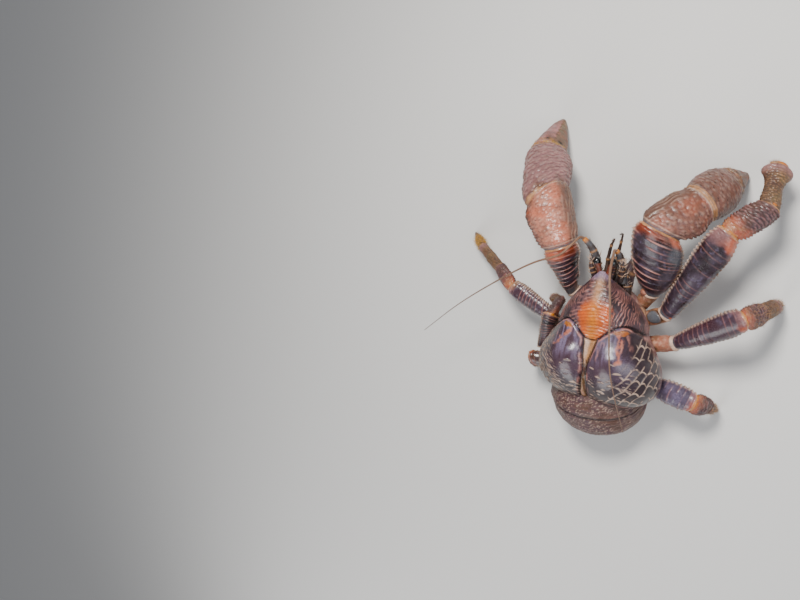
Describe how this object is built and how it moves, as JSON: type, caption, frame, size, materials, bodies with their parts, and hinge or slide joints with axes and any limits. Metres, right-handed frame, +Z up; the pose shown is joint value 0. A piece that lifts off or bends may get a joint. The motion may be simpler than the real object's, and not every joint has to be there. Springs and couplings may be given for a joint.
{
  "type": "coconut crab",
  "caption": "Still, life-size land crab with a domed shield, a globe-shaped abdomen, heavy unequal claws and pointed walking legs, standing flat on the floor.",
  "frame": {"origin": "on the floor, at the middle of the bounding box's underside", "axes": "+Z up, +Y the way the crab's head points, +X the crab's right side"},
  "size_m": [0.3883, 0.371, 0.1388],
  "materials": {
    "shield_shell": "glossy wrinkled shell, orange brown down the middle and dark purple at the sides",
    "branchial_shell": "glossy blue violet shell with cream flecks and netted edges",
    "heart_shell": "smooth cream and tan shell",
    "abdomen_shell": "satin brown purple skin and plates with fine cream flecks",
    "leg_shell": "glossy dark violet shell with cream scale rows",
    "claw_shell": "glossy pink brown shell with dark dimples",
    "joint_skin": "satin cream orange joint skin",
    "feeler": "satin brown feelers and bristles",
    "eye": "glossy black"
  },
  "bodies": {
    "root": {"abdomen_underside": "abdomen_shell", "branchial_left": "branchial_shell", "branchial_right": "branchial_shell", "cardiac_plate": "heart_shell", "cephalic_shield": "shield_shell", "left_antenna": "feeler", "left_antenna_base": "leg_shell", "left_antennule": "feeler", "left_claw_carpus": "claw_shell", "left_claw_coxa": "joint_skin", "left_claw_finger": "claw_shell", "left_claw_merus": "leg_shell", "left_claw_palm": "claw_shell", "left_eye": "eye", "left_eyestalk": "leg_shell", "left_leg_2_carpus": "leg_shell", "left_leg_2_coxa": "joint_skin", "left_leg_2_dactyl": "leg_shell", "left_leg_2_merus": "leg_shell", "left_leg_2_propodus": "leg_shell", "left_leg_3_carpus": "leg_shell", "left_leg_3_coxa": "joint_skin", "left_leg_3_dactyl": "leg_shell", "left_leg_3_merus": "leg_shell", "left_leg_3_propodus": "leg_shell", "left_leg_4_carpus": "leg_shell", "left_leg_4_dactyl": "leg_shell", "left_leg_4_merus": "leg_shell", "left_maxilliped": "leg_shell", "right_antenna": "feeler", "right_antenna_base": "leg_shell", "right_antennule": "feeler", "right_claw_carpus": "claw_shell", "right_claw_coxa": "joint_skin", "right_claw_finger": "claw_shell", "right_claw_merus": "leg_shell", "right_claw_palm": "claw_shell", "right_eye": "eye", "right_eyestalk": "leg_shell", "right_leg_2_carpus": "leg_shell", "right_leg_2_coxa": "joint_skin", "right_leg_2_dactyl": "leg_shell", "right_leg_2_merus": "leg_shell", "right_leg_2_propodus": "leg_shell", "right_leg_3_carpus": "leg_shell", "right_leg_3_coxa": "joint_skin", "right_leg_3_dactyl": "leg_shell", "right_leg_3_merus": "leg_shell", "right_leg_3_propodus": "leg_shell", "right_leg_4_carpus": "leg_shell", "right_leg_4_dactyl": "leg_shell", "right_leg_4_merus": "leg_shell", "right_maxilliped": "leg_shell", "tergite_1": "abdomen_shell", "tergite_2": "abdomen_shell", "tergite_3": "abdomen_shell", "tergite_4": "abdomen_shell", "thorax": "joint_skin"}
  },
  "joints": []
}
